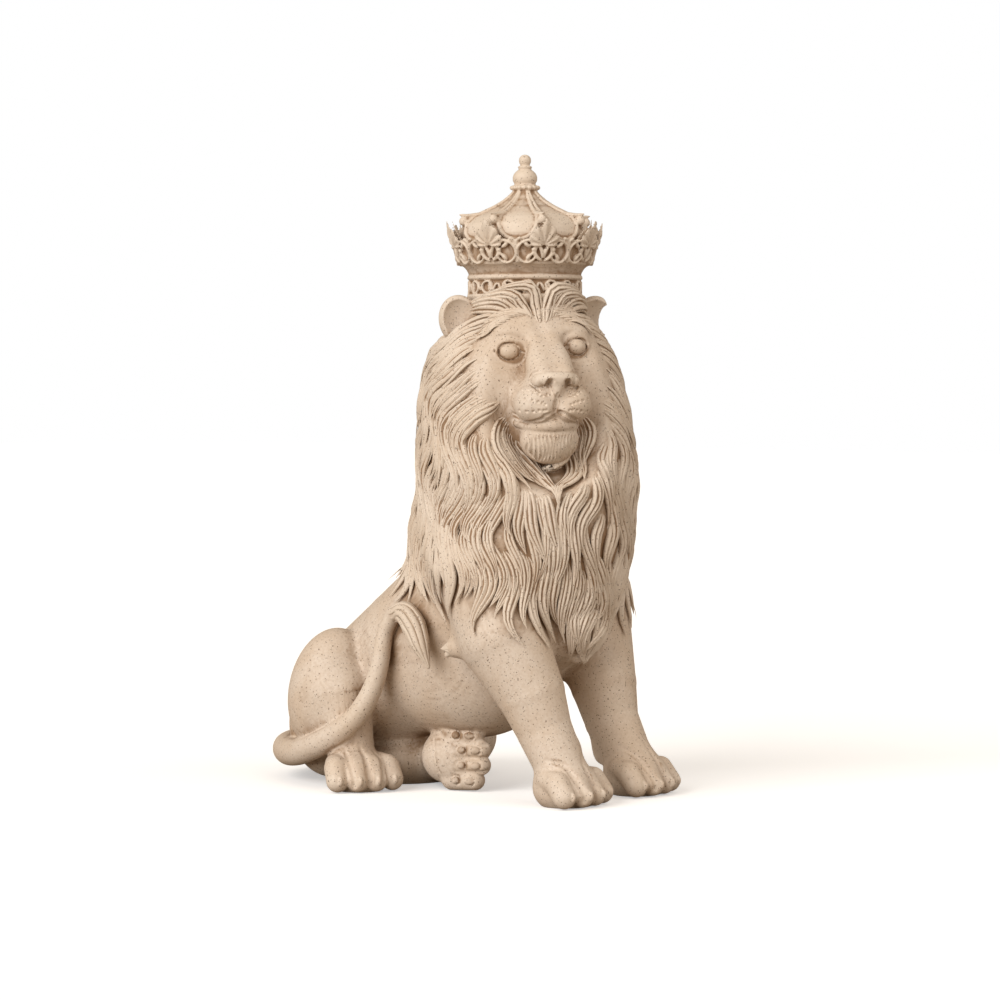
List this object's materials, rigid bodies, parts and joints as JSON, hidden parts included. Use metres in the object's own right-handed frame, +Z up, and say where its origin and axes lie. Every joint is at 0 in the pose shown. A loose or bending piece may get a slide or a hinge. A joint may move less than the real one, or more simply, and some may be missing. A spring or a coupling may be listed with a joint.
{
  "type": "lion sculpture",
  "caption": "Seated lion figure in stone-coloured cast resin, head turned aside, with a carved mane, a tail along the flank and a tall domed crown.",
  "frame": {"origin": "middle of the bounding box, on the ground plane", "axes": "+Z up, -Y the way the front paws point, +X the lion's left"},
  "size_m": [0.1194, 0.1948, 0.27],
  "materials": {
    "cast_resin": "matte sand-coloured casting with fine dark specks"
  },
  "bodies": {
    "root": {"lion": "cast_resin"}
  },
  "joints": []
}
